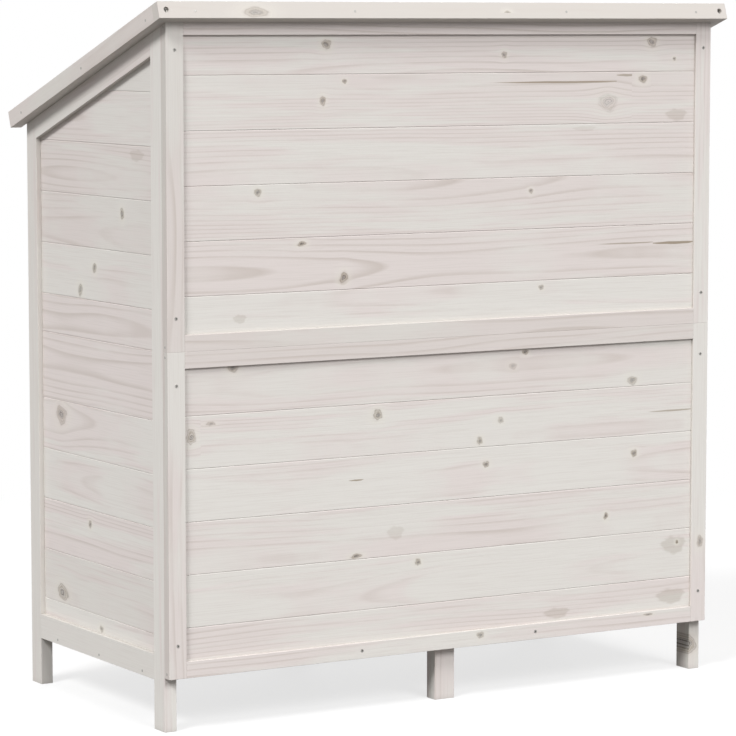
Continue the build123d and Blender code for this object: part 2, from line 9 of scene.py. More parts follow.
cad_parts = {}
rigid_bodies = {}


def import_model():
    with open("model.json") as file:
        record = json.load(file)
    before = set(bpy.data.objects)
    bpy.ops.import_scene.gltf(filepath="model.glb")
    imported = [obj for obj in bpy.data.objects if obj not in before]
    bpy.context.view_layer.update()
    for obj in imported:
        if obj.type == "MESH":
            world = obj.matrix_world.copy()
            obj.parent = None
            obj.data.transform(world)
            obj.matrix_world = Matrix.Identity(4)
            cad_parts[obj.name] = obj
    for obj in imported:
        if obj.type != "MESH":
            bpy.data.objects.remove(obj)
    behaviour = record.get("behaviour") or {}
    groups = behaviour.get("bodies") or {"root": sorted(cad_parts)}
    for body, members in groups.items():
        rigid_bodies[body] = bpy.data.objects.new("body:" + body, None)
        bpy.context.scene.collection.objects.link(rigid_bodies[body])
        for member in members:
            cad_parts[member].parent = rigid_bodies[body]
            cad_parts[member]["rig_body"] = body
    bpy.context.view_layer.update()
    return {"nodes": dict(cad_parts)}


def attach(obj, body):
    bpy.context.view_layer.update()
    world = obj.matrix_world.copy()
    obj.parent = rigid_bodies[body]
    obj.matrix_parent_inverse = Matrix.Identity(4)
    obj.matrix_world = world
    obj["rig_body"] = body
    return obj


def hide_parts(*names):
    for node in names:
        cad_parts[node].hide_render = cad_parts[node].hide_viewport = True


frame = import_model()
MM = 0.001
X = Vector((1, 0, 0))
Y = Vector((0, 1, 0))
Z = Vector((0, 0, 1))

# Edges of the timber, in millimetres: how far the arrises are taken off
FRAME_ARRIS = 0.45
TIGHT_ARRIS = 0.3           # where a bevel would open a joint
BOARD_ARRIS = 0.3
BUTTON_ARRIS = 1.5
SHORTEST_ARRIS = 7.0        # rims of screw holes are shorter than this and stay as drilled
ARRIS_STEPS = 2

# How a node's mesh is read: points this close, in millimetres, are one, and faces this flat are one
WELD = 0.002
FLAT = math.radians(0.5)
CORNER = math.radians(30)
ROUND = math.radians(12)    # facets that meet at less than this belong to one round face
ROUND_HEAD = 8              # the flat of a round head has more corners than this
MOSTLY = 0.9                # a face looks along a line when its normal agrees with it this far
SAME_ROW = 4                # solids lie in one row when their places agree to this many decimals of a metre

# Cross recess of a screw head, as shares of the head's radius
CROSS_REACH = 0.68
CROSS_HALF_WIDTH = 0.22
CROSS_DEPTH = 0.7
CROSS_TAPER = 0.7

# Clout nails of the felt, in millimetres
CLOUT_RADIUS = 4.5
CLOUT_CROWN = 0.8           # the flat of the head, as a share of its radius
CLOUT_HEIGHT = 0.9
CLOUT_INSET = 14.0
CLOUT_SPACING = 95.0
CLOUT_SIDES = 16

# How the grain lies: where the heart of the tree was, from the middle of a board, in millimetres
HEART_ASIDE = 45.0
HEART_DEPTH = (14.0, 60.0)
ALONG_TREE = 100.0          # metres, within which each piece takes its grain from a place of its own

# Random knots of the pieces that are not in view, in millimetres where nothing else is said
BOARD_KNOTS = 330.0         # along a board, from one knot to the next
FRAME_KNOTS = 1500.0
FIRST_KNOT = (0.2, 1.0)     # share of that spacing, from the end of the piece
NEXT_KNOT = (0.35, 1.5)     # share of that spacing, from knot to knot
KNOT_RADIUS = (2.5, 8.0)
KNOT_RISE = (0.1, 0.9)      # share of the width of the piece
KNOT_STRETCH = (0.8, 1.3)   # half length, as a share of the radius
KNOT_STRENGTH = (0.4, 0.95)
KNOT_MARGIN = 14.0
FAR_AWAY = 1e4              # where a piece has no mark, its nearest one lies this far off

# Painted shade on the faces of a piece: darker on the square edges of a frame, and the painted corner shade
# lifted out of the seams between boards
SHADE_ON_EDGES = 1.0           # on the square edges of a frame
SHADE_LIFTED_IN_SEAMS = -1.0        # in the seams between boards

# Knots of the pieces in view, each board counted from the lowest, in millimetres:
# place along the piece, distance from its lower or left edge, half length, half width, strength
KNOTS = {
    "upper_rear_boards": {
        0: [(-170, 55, 5, 4, 0.7)],
        1: [(263, 72, 7, 4, 0.9), (190, 18, 7, 9, 1.0), (140, 61, 5, 3, 0.5)],
        2: [(338, 70, 6, 6, 0.8), (-150, 60, 4, 4, 0.7)],
        4: [(188, 71, 4, 3.5, 0.9), (226, 42, 5, 7, 0.9), (-296, 34, 17, 14, 0.42),
            (-363, 70, 8, 6, 0.9)],
        5: [(220, 45, 8, 7, 0.9), (-99, 28, 5, 5, 0.8), (-380, 47, 9, 8, 0.8), (-424, 20, 3, 3, 0.8)],
    },
    "lower_rear_boards": {
        1: [(57, 66, 6, 5, 0.9), (-438, 58, 3, 3, 1.0)],
        2: [(168, 5, 9, 4, 0.9), (-297, 32, 4, 6, 1.0)],
        3: [(6, 38, 2, 2, 1.0), (-68, 52, 6, 5, 0.8), (-351, 51, 6, 6, 0.9)],
        4: [(453, 48, 9, 11, 0.9), (420, 66, 9, 3, 0.6), (130, 62, 9, 8, 0.9), (-95, 40, 6, 5, 0.6),
            (-56, 10, 6, 6, 0.8)],
        5: [(381, 68, 9, 6, 0.8), (-118, 45, 7, 5, 0.4), (-141, 66, 6, 4, 0.9), (-347, 10, 9, 7, 0.7)],
    },
    "right_side_boards": {
        0: [(2, 17, 7, 5, 0.7)],
        1: [(-135, 18, 18, 12, 0.9)],
        2: [(-35, 58, 6, 6, 0.8)],
        4: [(-135, 60, 19, 15, 0.9)],
        7: [(-13, 51, 7, 7, 0.9), (-63, 14, 8, 9, 0.9)],
        8: [(83, 57, 6, 8, 0.9)],
    },
    "rear_fascia_board": {0: [(352, 9, 19, 8, 0.55), (-92, 8, 6, 4, 0.7)]},
    "lower_rear_left_stile": {0: [(214, 12, 10, 6, 0.7)]},
    "lower_rear_bottom_rail": {0: [(-56, 17, 7, 5, 0.7), (-379, 20, 9, 2, 0.7)]},
    "rear_left_post": {0: [(40, 22, 16, 15, 1.0), (69, 9, 6, 8, 1.0)]},
    **{name: {} for name in (
        "rear_right_post", "front_right_post", "lower_rear_right_stile", "upper_rear_right_stile",
        "upper_rear_left_stile", "lower_rear_top_rail", "upper_rear_top_rail", "upper_rear_bottom_rail",
        "right_side_top_rail", "right_side_bottom_rail", "right_rake_board", "rear_middle_leg",
    )},
}

# Streaks and stains of the boards in view, in the same way
STREAKS = {
    "upper_rear_boards": {
        0: [(370, 29, 12, 7, 0.26)],
        1: [(-425, 51, 48, 2.4, 1.1), (-335, 53, 60, 1.3, 0.8)],
        3: [(-250, 74, 24, 4, 0.17)],
        4: [(-205, 66, 130, 1.7, 1.0), (-330, 76, 22, 2.0, 0.8), (-428, 12, 22, 10, 0.3)],
    },
    "lower_rear_boards": {
        0: [(-202, 22, 26, 9, 0.34), (-425, 30, 30, 13, 0.34)],
        1: [(-430, 54, 26, 15, 0.34)],
        2: [(98, 36, 16, 11, 0.21)],
        3: [(168, 43, 14, 1.3, 1.0)],
        4: [(-425, 36, 48, 1.5, 0.8)],
    },
    "right_side_boards": {9: [(134, 66, 25, 9, 0.26)]},
}

# The tone of a piece in view, board by board from the lowest: how dark it is, and how far the wood shows. On
# three pieces the tone is painted light: painted shade on the fascia, and painted light on the top board of
# the upper back and on the middle leg, which lie in shade
TINTS_AND_PAINTED_LIGHT = {
    # painted light: the top board, the last here, is lightened against the shadow of the fascia
    "upper_rear_boards": ((0.2, 0.0), (0.4, 1.0), (0.5, 0.6), (0.4, 0.55), (0.5, 0.6), (0.0, 0.8)),
    "lower_rear_boards": ((0.3, 0.6), (0.3, 0.2), (0.4, 0.5), (0.2, 0.2), (0.3, 0.3), (0.5, 0.5)),
    # painted shade: the fascia is darkened against the stronger light on its upturned face
    "rear_fascia_board": ((3.6, 0.0),),
    "upper_rear_bottom_rail": ((1.3, 0.8),),
    "lower_rear_top_rail": ((1.3, 0.8),),
    "lower_rear_bottom_rail": ((0.2, 0.7),),
    "upper_rear_right_stile": ((1.2, 0.7),),
    "upper_rear_left_stile": ((0.1, 0.3),),
    "lower_rear_right_stile": ((0.5, 0.6),),
    "lower_rear_left_stile": ((0.2, 0.4),),
    "rear_right_post": ((0.0, 0.0),),
    "front_right_post": ((1.1, 0.0),),
    "right_rake_board": ((1.6, 0.5),),
    # painted light: the middle leg is kept light against the shade under the back panel
    "rear_middle_leg": ((0.2, 0.4),),
    "rear_left_post": ((0.5, 0.3),),
}

# Three soft lamps: the way to each, its level and its spread in degrees, then the level of the sky
LAMPS = {
    "back_lamp": ((-0.06, 0.78, 0.63), 1.68, 26.0),
    "side_lamp": ((0.63, 0.28, 0.72), 2.62, 18.0),
    "front_lamp": ((-0.6, -0.79, 0.12), 2.8, 24.0),
}
SKY_LEVEL = 0.32

# The photographed view: the eye stands behind the shed, to the right of its back, a little lower than its top
EYE = (2.740, 4.580, 1.051)
EYE_TURN = 149.14
EYE_PITCH = -5.88
EYE_LENS = 162.8

# Sockets that are known by number, because others share their names: those of a colour mix, and of a range
SHARE, UNDER, OVER, MIXED = 0, 6, 7, 2
FROM_LOW, FROM_HIGH, TO_LOW, TO_HIGH = 1, 2, 3, 4


def linear(code):
    """The linear colour of an sRGB hex value."""
    channels = [int(code[k:k + 2], 16) / 255 for k in (1, 3, 5)]
    return (*(c / 12.92 if c <= 0.04045 else ((c + 0.055) / 1.055) ** 2.4 for c in channels), 1.0)


def add_node(tree, kind, inputs=None, **settings):
    """Adds a node with its settings, and fills its inputs with values or links."""
    made = tree.nodes.new(kind)
    for name, value in settings.items():
        setattr(made, name, value)
    for key, value in (inputs or {}).items():
        if isinstance(value, bpy.types.NodeSocket):
            tree.links.new(value, made.inputs[key])
        else:
            made.inputs[key].default_value = value
    return made


def new_material(name):
    """An empty node material with its shader, ready for the nodes that make its look."""
    material = bpy.data.materials.new(name)
    material.use_nodes = True
    tree = material.node_tree
    return material, tree, tree.nodes["Principled BSDF"]


def ragged_distance(tree, flat, noise_at, noise_scale, pull):
    """The distance from the middle of a mark, in its own radii, with its outline pulled out of shape."""
    noise = add_node(tree, "ShaderNodeTexNoise", {"Vector": noise_at, "Scale": noise_scale, "Detail": 2.0})
    shift = add_node(tree, "ShaderNodeVectorMath", {0: noise.outputs["Color"], 1: (0.5, 0.5, 0.5)},
                     operation="SUBTRACT")
    pulled = add_node(tree, "ShaderNodeVectorMath", {0: shift.outputs[0], 1: (pull, pull, 0.0), 2: flat},
                      operation="MULTIPLY_ADD")
    away = add_node(tree, "ShaderNodeVectorMath", {0: pulled.outputs[0]}, operation="LENGTH")
    return away.outputs["Value"]


def knot_stain(tree, grain, heart, rim, strength):
    """The colour of a knot, from its dark heart to its pale halo, and how far it covers the wood."""
    halo_end = 3.0               # in radii of the knot
    ring_width = 3.6 * MM
    ring_line = (0.15, 0.35)     # where a dark ring passes into the gap beside it
    ringless = 5.0 * MM          # small knots have no rings, and large ones have clear gaps
    ringed = 11.0 * MM
    gap_cover = 0.45
    fleck_size = 2.2 * MM
    fleck_range = (0.35, 0.6)
    fleck_cover = 0.7
    # From the heart outwards, as shares of the way to the halo's end: colour and cover
    stops = ((0.0, "#443C32", 0.95), (0.12, "#544A3E", 0.95), (0.17, "#84765F", 0.8), (0.25, "#9E917A", 0.7),
             (0.29, "#857A69", 0.8), (0.33, "#A39886", 0.5), (0.37, "#D8D1C2", 0.35), (0.46, "#EAE6DA", 0.45),
             (0.62, "#EAE6DC", 0.3), (1.0, "#E8E4DE", 0.0))

    outwards = add_node(tree, "ShaderNodeMath", {0: rim, 1: halo_end}, operation="DIVIDE")
    ramp = add_node(tree, "ShaderNodeValToRGB", {0: outwards.outputs[0]})
    while len(ramp.color_ramp.elements) < len(stops):
        ramp.color_ramp.elements.new(0.5)
    for element, (at, code, cover) in zip(ramp.color_ramp.elements, stops):
        element.position = at
        element.color = (*linear(code)[:3], cover)

    depth = add_node(tree, "ShaderNodeMath", {0: rim, 1: heart.outputs[2]}, operation="MULTIPLY")
    year = add_node(tree, "ShaderNodeMath", {0: depth.outputs[0], 1: ring_width}, operation="DIVIDE")
    wave = add_node(tree, "ShaderNodeMath", {0: year.outputs[0], 1: 0.5}, operation="PINGPONG")
    gap = add_node(tree, "ShaderNodeMapRange",
                   {0: heart.outputs[2], FROM_LOW: ringless, FROM_HIGH: ringed,
                    TO_LOW: 1.0, TO_HIGH: gap_cover})
    ring = add_node(tree, "ShaderNodeMapRange",
                    {0: wave.outputs[0], FROM_LOW: ring_line[0], FROM_HIGH: ring_line[1],
                     TO_LOW: 1.0, TO_HIGH: gap.outputs[0]})
    fleck = add_node(tree, "ShaderNodeTexNoise", {"Vector": grain, "Scale": 1 / fleck_size, "Detail": 2.0})
    speckle = add_node(tree, "ShaderNodeMapRange",
                       {0: fleck.outputs[0], FROM_LOW: fleck_range[0], FROM_HIGH: fleck_range[1],
                        TO_LOW: fleck_cover, TO_HIGH: 1.0})
    cover = ramp.outputs["Alpha"]
    for broken in (ring.outputs[0], speckle.outputs[0], strength):
        cover = add_node(tree, "ShaderNodeMath", {0: cover, 1: broken}, operation="MULTIPLY").outputs[0]
    return ramp.outputs["Color"], cover


def year_rings(tree, grain, heart, away):
    """The late wood of the year rings, which flow round knots, and the distance from the tree's heart."""
    ring_width = 4.2 * MM
    late_wood = (0.55, 0.9)      # shares of a ring: where late wood sets in, and where it is darkest
    drift_length = 1000.0 * MM   # the heart of the tree wanders along the board
    drift_width = 200.0 * MM
    drift_reach = 34.0 * MM
    ease = 0.7                   # keeps the flow even at the heart of a knot
    sway = (2.0, 6.0)            # in radii of the knot, between which the flow dies away

    # The grain flows round a knot as water flows round a post
    square = add_node(tree, "ShaderNodeMath", {0: away, 1: 2.0}, operation="POWER")
    eased = add_node(tree, "ShaderNodeMath", {0: square.outputs[0], 1: ease}, operation="ADD")
    pull = add_node(tree, "ShaderNodeMath", {0: heart.outputs[1], 1: eased.outputs[0]}, operation="DIVIDE")
    push = add_node(tree, "ShaderNodeMath", {0: pull.outputs[0], 1: heart.outputs[2]}, operation="MULTIPLY")
    near = add_node(tree, "ShaderNodeMapRange",
                    {0: away, FROM_LOW: sway[0], FROM_HIGH: sway[1], TO_LOW: 1.0, TO_HIGH: 0.0},
                    interpolation_type="SMOOTHSTEP")
    bend = add_node(tree, "ShaderNodeMath", {0: push.outputs[0], 1: near.outputs[0]}, operation="MULTIPLY")
    place = add_node(tree, "ShaderNodeSeparateXYZ", {0: grain})
    across = add_node(tree, "ShaderNodeMath", {0: place.outputs[1], 1: bend.outputs[0]}, operation="SUBTRACT")

    wander_at = add_node(tree, "ShaderNodeVectorMath",
                         {0: grain, 1: (1 / drift_length, 1 / drift_width, 1 / drift_width)},
                         operation="MULTIPLY")
    wander = add_node(tree, "ShaderNodeTexNoise",
                      {"Vector": wander_at.outputs[0], "Scale": 1.0, "Detail": 2.0})
    drift = add_node(tree, "ShaderNodeMath", {0: wander.outputs[0], 1: drift_reach, 2: place.outputs[2]},
                     operation="MULTIPLY_ADD")
    section = add_node(tree, "ShaderNodeCombineXYZ", {0: across.outputs[0], 1: drift.outputs[0]})
    depth = add_node(tree, "ShaderNodeVectorMath", {0: section.outputs[0]}, operation="LENGTH")

    rings = add_node(tree, "ShaderNodeMath", {0: depth.outputs["Value"], 1: ring_width}, operation="DIVIDE")
    year = add_node(tree, "ShaderNodeMath", {0: rings.outputs[0]}, operation="FRACT")
    late = add_node(tree, "ShaderNodeMapRange",
                    {0: year.outputs[0], FROM_LOW: late_wood[0], FROM_HIGH: late_wood[1]},
                    interpolation_type="SMOOTHSTEP")
    stop = add_node(tree, "ShaderNodeMapRange",
                    {0: year.outputs[0], FROM_LOW: late_wood[1], FROM_HIGH: 1.0, TO_LOW: 1.0, TO_HIGH: 0.0})
    line = add_node(tree, "ShaderNodeMath", {0: late.outputs[0], 1: stop.outputs[0]}, operation="MULTIPLY")
    return line.outputs[0], depth.outputs["Value"]


def bare_patches(tree, grain, depth, tone, warmth):
    """How far the wood shows through the stain, in patches that follow the rings."""
    patch_length = 300.0 * MM
    patch_width = 13.0 * MM
    warmth_lean = 0.24
    place = add_node(tree, "ShaderNodeSeparateXYZ", {0: grain})
    patch_x = add_node(tree, "ShaderNodeMath", {0: place.outputs[0], 1: patch_length}, operation="DIVIDE")
    patch_y = add_node(tree, "ShaderNodeMath", {0: depth, 1: patch_width}, operation="DIVIDE")
    patch_at = add_node(tree, "ShaderNodeCombineXYZ", {0: patch_x.outputs[0], 1: patch_y.outputs[0], 2: tone})
    patch = add_node(tree, "ShaderNodeTexNoise", {"Vector": patch_at.outputs[0], "Scale": 1.0, "Detail": 4.0,
                                                  "Roughness": 0.55})
    lean = add_node(tree, "ShaderNodeMath", {0: warmth, 1: warmth_lean, 2: patch.outputs[0]},
                    operation="MULTIPLY_ADD")
    return lean.outputs[0]


def whitewashed_fir():
    """Planed fir under a thin white stain: cream, pink where the wood shows, soft grain, grey-brown knots,
    with painted shade in corners and on the square edges of frames.
    """
    material, tree, shader = new_material("whitewashed_fir")
    own_outline = 40.0           # how far a board's tone moves the noise that shapes its knots
    knot_rag = (0.7, 1.3)        # scale of the noise in a mark's own radii, and how far it pulls the outline
    streak_rag = (0.9, 1.2)
    streak_rim = (1.05, 0.75)    # from the outside of a streak to its full colour
    pink_range = (0.52, 0.72)
    line_range = (0.5, 0.85)
    fibre_range = (0.45, 0.75)
    # painted corner shade: the levels of occlusion over which it fades in
    corner_shade_range = (0.35, 0.9)
    fibre_length = 75.0 * MM
    fibre_width = 1.4 * MM       # real fibres are finer, and would not show
    # painted corner shade: how far off nearby faces darken a corner
    corner_shade_reach = 9.0 * MM
    relief_height = 0.25 * MM
    line_relief = 0.5            # next to the fibres, which count as 1
    # How strongly each layer colours the wood
    tone_share = 0.25
    line_share = 0.62
    fibre_share = 0.3
    streak_share = 0.8
    # painted shade: in corners, and on the square edges of frames
    corner_shade_strength = 0.4
    edge_shade_strength = 0.3

    grain, knot, streak, tint, painted_edge_shade = (
        add_node(tree, "ShaderNodeAttribute", attribute_name=name)
        for name in ("grain", "knot", "streak", "tint", "painted_edge_shade")
    )
    grain = grain.outputs["Vector"]
    heart = add_node(tree, "ShaderNodeSeparateXYZ", {0: knot.outputs["Vector"]})
    crack = add_node(tree, "ShaderNodeSeparateXYZ", {0: streak.outputs["Vector"]})
    board = add_node(tree, "ShaderNodeSeparateXYZ", {0: tint.outputs["Vector"]})
    tone, warmth, strength = board.outputs

    # Knots, each with an outline of its own
    knot_flat = add_node(tree, "ShaderNodeCombineXYZ", {0: heart.outputs[0], 1: heart.outputs[1]})
    away = add_node(tree, "ShaderNodeVectorMath", {0: knot_flat.outputs[0]}, operation="LENGTH")
    own = add_node(tree, "ShaderNodeMath", {0: tone, 1: own_outline, 2: heart.outputs[2]},
                   operation="MULTIPLY_ADD")
    knot_at = add_node(tree, "ShaderNodeCombineXYZ",
                       {0: heart.outputs[0], 1: heart.outputs[1], 2: own.outputs[0]})
    rim = ragged_distance(tree, knot_flat.outputs[0], knot_at.outputs[0], *knot_rag)
    knot_colour, knot_cover = knot_stain(tree, grain, heart, rim, strength)

    # Grain lines, which show where the stain is thin, and fibres along the board
    line, depth = year_rings(tree, grain, heart, away.outputs["Value"])
    bare = bare_patches(tree, grain, depth, tone, warmth)
    pink = add_node(tree, "ShaderNodeMapRange", {0: bare, FROM_LOW: pink_range[0], FROM_HIGH: pink_range[1]},
                    interpolation_type="SMOOTHSTEP")
    shown = add_node(tree, "ShaderNodeMapRange", {0: bare, FROM_LOW: line_range[0], FROM_HIGH: line_range[1]},
                     interpolation_type="SMOOTHSTEP")
    faded = add_node(tree, "ShaderNodeMath", {0: line, 1: shown.outputs[0]}, operation="MULTIPLY")
    lined = add_node(tree, "ShaderNodeMath", {0: faded.outputs[0], 1: line_share}, operation="MULTIPLY")
    fibre_at = add_node(tree, "ShaderNodeVectorMath",
                        {0: grain, 1: (1 / fibre_length, 1 / fibre_width, 1 / fibre_width)},
                        operation="MULTIPLY")
    fibre = add_node(tree, "ShaderNodeTexNoise", {"Vector": fibre_at.outputs[0], "Scale": 1.0, "Detail": 2.0})
    thread = add_node(tree, "ShaderNodeMapRange",
                      {0: fibre.outputs[0], FROM_LOW: fibre_range[0], FROM_HIGH: fibre_range[1],
                       TO_LOW: 0.0, TO_HIGH: fibre_share})
    toned = add_node(tree, "ShaderNodeMath", {0: tone, 1: tone_share}, operation="MULTIPLY")

    # Streaks, and painted shade on the square edges of frames and in corners where nearby faces occlude; the
    # seams of boards have the painted corner shade lifted
    crack_flat = add_node(tree, "ShaderNodeCombineXYZ", {0: crack.outputs[0], 1: crack.outputs[1]})
    crack_away = ragged_distance(tree, crack_flat.outputs[0], crack_flat.outputs[0], *streak_rag)
    crack_rim = add_node(tree, "ShaderNodeMapRange",
                         {0: crack_away, FROM_LOW: streak_rim[0], FROM_HIGH: streak_rim[1],
                          TO_LOW: 0.0, TO_HIGH: streak_share},
                         interpolation_type="SMOOTHSTEP")
    cracked = add_node(tree, "ShaderNodeMath", {0: crack_rim.outputs[0], 1: crack.outputs[2]},
                       operation="MULTIPLY")
    corner_occlusion = add_node(tree, "ShaderNodeAmbientOcclusion", {"Distance": corner_shade_reach}, samples=4)
    painted_corner_shade = add_node(tree, "ShaderNodeMapRange",
                      {0: corner_occlusion.outputs["AO"], FROM_LOW: corner_shade_range[0], FROM_HIGH: corner_shade_range[1],
                       TO_LOW: corner_shade_strength, TO_HIGH: 0.0})
    painted_shade_share = add_node(tree, "ShaderNodeMath", {0: painted_edge_shade.outputs["Fac"], 1: edge_shade_strength, 2: painted_corner_shade.outputs[0]},
                     operation="MULTIPLY_ADD", use_clamp=True)

    # The layers over the cream stain: bare wood, tone, late wood, fibres, streaks, knots, painted shade
    colour = linear("#E8E5E0")
    for share, layer in (
        (pink.outputs[0], linear("#E7DEDB")),
        # tone, which is painted shade on the fascia and painted light on the top upper back board and the
        # middle leg
        (toned.outputs[0], linear("#CEC8C2")),
        (lined.outputs[0], linear("#C6BBB3")),
        (thread.outputs[0], linear("#D0C8C2")),
        (cracked.outputs[0], linear("#978873")),
        (knot_cover, knot_colour),
        # painted shade in corners and on the square edges of frames
        (painted_shade_share.outputs[0], linear("#A8A29A")),
    ):
        mix = add_node(tree, "ShaderNodeMix", {SHARE: share, UNDER: colour, OVER: layer}, data_type="RGBA")
        colour = mix.outputs[MIXED]
    tree.links.new(colour, shader.inputs["Base Color"])

    # A dry, slightly open surface
    shader.inputs["Roughness"].default_value = 0.62
    relief = add_node(tree, "ShaderNodeMath", {0: line, 1: line_relief, 2: fibre.outputs[0]},
                      operation="MULTIPLY_ADD")
    bump = add_node(tree, "ShaderNodeBump", {"Strength": 0.25, "Distance": relief_height,
                                             "Height": relief.outputs[0]}, invert=True)
    tree.links.new(bump.outputs[0], shader.inputs["Normal"])
    return material


def zinc_plated_steel():
    """Pressed and headed steel with a thin bright zinc coat: grey metal with faint cloudy mottling."""
    material, tree, shader = new_material("zinc_plated_steel")
    cloud_size = 2.5 * MM
    bright_roughness = 0.3
    dull_roughness = 0.5
    place = add_node(tree, "ShaderNodeTexCoord")
    cloud = add_node(tree, "ShaderNodeTexNoise", {"Vector": place.outputs["Object"], "Scale": 1 / cloud_size,
                                                  "Detail": 3.0})
    colour = add_node(tree, "ShaderNodeMix", {SHARE: cloud.outputs[0], UNDER: linear("#93918D"),
                                              OVER: linear("#C8C6C2")}, data_type="RGBA")
    rough = add_node(tree, "ShaderNodeMapRange", {0: cloud.outputs[0], TO_LOW: bright_roughness,
                                                  TO_HIGH: dull_roughness})
    shader.inputs["Metallic"].default_value = 1.0
    tree.links.new(colour.outputs[MIXED], shader.inputs["Base Color"])
    tree.links.new(rough.outputs[0], shader.inputs["Roughness"])
    return material


def mineral_felt():
    """Bitumen roofing felt with a crushed-slate face: dull grey, with darker and lighter grit."""
    material, tree, shader = new_material("mineral_roofing_felt")
    grit_size = 1.6 * MM         # real grit is about half of this, and would not show
    grit_height = 0.5 * MM
    place = add_node(tree, "ShaderNodeTexCoord")
    grit = add_node(tree, "ShaderNodeTexVoronoi", {"Vector": place.outputs["Object"], "Scale": 1 / grit_size})
    shade = add_node(tree, "ShaderNodeSeparateColor", {0: grit.outputs["Color"]})
    colour = add_node(tree, "ShaderNodeMix", {SHARE: shade.outputs[0], UNDER: linear("#4E504F"),
                                              OVER: linear("#7C7F7D")}, data_type="RGBA")
    tree.links.new(colour.outputs[MIXED], shader.inputs["Base Color"])
    shader.inputs["Roughness"].default_value = 0.9
    bump = add_node(tree, "ShaderNodeBump", {"Strength": 0.6, "Distance": grit_height,
                                             "Height": grit.outputs["Distance"]}, invert=True)
    tree.links.new(bump.outputs[0], shader.inputs["Normal"])
    return material


def welded(name):
    """A copy of a node's solids with their triangles joined into whole faces."""
    mesh = bmesh.new()
    mesh.from_mesh(frame["nodes"][name].data)
    bmesh.ops.remove_doubles(mesh, verts=mesh.verts, dist=WELD * MM)
    bmesh.ops.dissolve_limit(mesh, angle_limit=FLAT, verts=mesh.verts, edges=mesh.edges)
    return mesh


def shade_round(mesh, sharpest):
    """Shades faces as one where they meet at less than an angle."""
    for face in mesh.faces:
        face.smooth = True
    for edge in mesh.edges:
        edge.smooth = edge.is_manifold and edge.calc_face_angle() < sharpest


def soften(mesh, arris):
    """Takes the sharpness off the long outer edges, and shades round faces round."""
    long_edges = [
        edge for edge in mesh.edges
        if edge.is_manifold and edge.is_convex
        and edge.calc_face_angle() > CORNER and edge.calc_length() > SHORTEST_ARRIS * MM
    ]
    bmesh.ops.bevel(mesh, geom=long_edges, offset=arris * MM, offset_type="OFFSET", segments=ARRIS_STEPS,
                    profile=0.5, affect="EDGES", clamp_overlap=True, material=-1)
    shade_round(mesh, ROUND)


def new_piece(name, mesh, material):
    """An object with that mesh and finish, placed in the scene."""
    data = bpy.data.meshes.new(name)
    mesh.to_mesh(data)
    mesh.free()
    data.materials.append(material)
    piece = bpy.data.objects.new(name, data)
    bpy.context.scene.collection.objects.link(piece)
    return piece


def linked(start):
    """All the vertices of the solid that a vertex belongs to."""
    found = {start}
    queue = [start]
    while queue:
        vertex = queue.pop()
        for edge in vertex.link_edges:
            other = edge.other_vert(vertex)
            if other not in found:
                found.add(other)
                queue.append(other)
    return found


def solids_of(mesh, along, across):
    """One vertex of each solid, with the solids in order across the grain and then along it."""
    left = set(mesh.verts)
    starts = []
    while left:
        start = next(vertex for vertex in mesh.verts if vertex in left)
        body = linked(start)
        left -= body
        middle = sum((vertex.co for vertex in body), Vector()) / len(body)
        starts.append((round(middle.dot(across), SAME_ROW), round(middle.dot(along), SAME_ROW), start))
    return [start for _, _, start in sorted(starts, key=lambda row: row[:2])]


def extent(body, way):
    """The lowest and the highest place of a solid along a way, in millimetres."""
    places = [vertex.co.dot(way) / MM for vertex in body]
    return min(places), max(places)


def random_knots(draw, spacing, low, high, width):
    """Knots for a board that is not in the photograph, a few to the metre."""
    knots = []
    at = low + draw.uniform(*FIRST_KNOT) * spacing
    while at < high - KNOT_MARGIN:
        radius = draw.uniform(*KNOT_RADIUS)
        knots.append((at, draw.uniform(*KNOT_RISE) * width, radius * draw.uniform(*KNOT_STRETCH), radius,
                      draw.uniform(*KNOT_STRENGTH)))
        at += draw.uniform(*NEXT_KNOT) * spacing
    return knots


def cuts(marks):
    """Places along a board that lie between two marks, equally far from both in their own lengths."""
    ordered = sorted(marks)
    return [(a[0] * b[2] + b[0] * a[2]) / (a[2] + b[2]) for a, b in zip(ordered, ordered[1:])]


def nearest(marks, at):
    """The mark that is nearest to a place along a board."""
    nowhere = (FAR_AWAY, 0.0, 1.0, 1.0, 0.0)
    return min(marks, key=lambda mark: abs(at - mark[0]) / mark[2], default=nowhere)


def cut_across(mesh, start, along, places):
    """Cuts the faces of a solid at some places along it, so that each stretch can carry a mark of its own."""
    for at in places:
        body = linked(start)
        faces = {face for vertex in body for face in vertex.link_faces}
        edges = {edge for vertex in body for edge in vertex.link_edges}
        bmesh.ops.bisect_plane(mesh, geom=[*body, *edges, *faces], dist=WELD * MM,
                               plane_co=along * at * MM, plane_no=along)
    return linked(start)


def shade_on_face(face, across, through, edge_shade):
    """How much painted shade a face takes: full on the square edges of a frame, and less than none in the
    seams of boards, which lifts the painted corner shade there.
    """
    if edge_shade == SHADE_ON_EDGES:
        is_edge = abs(face.normal.dot(across)) > MOSTLY
    else:
        is_edge = abs(face.normal.dot(through)) < MOSTLY
    return edge_shade if is_edge else 0.0


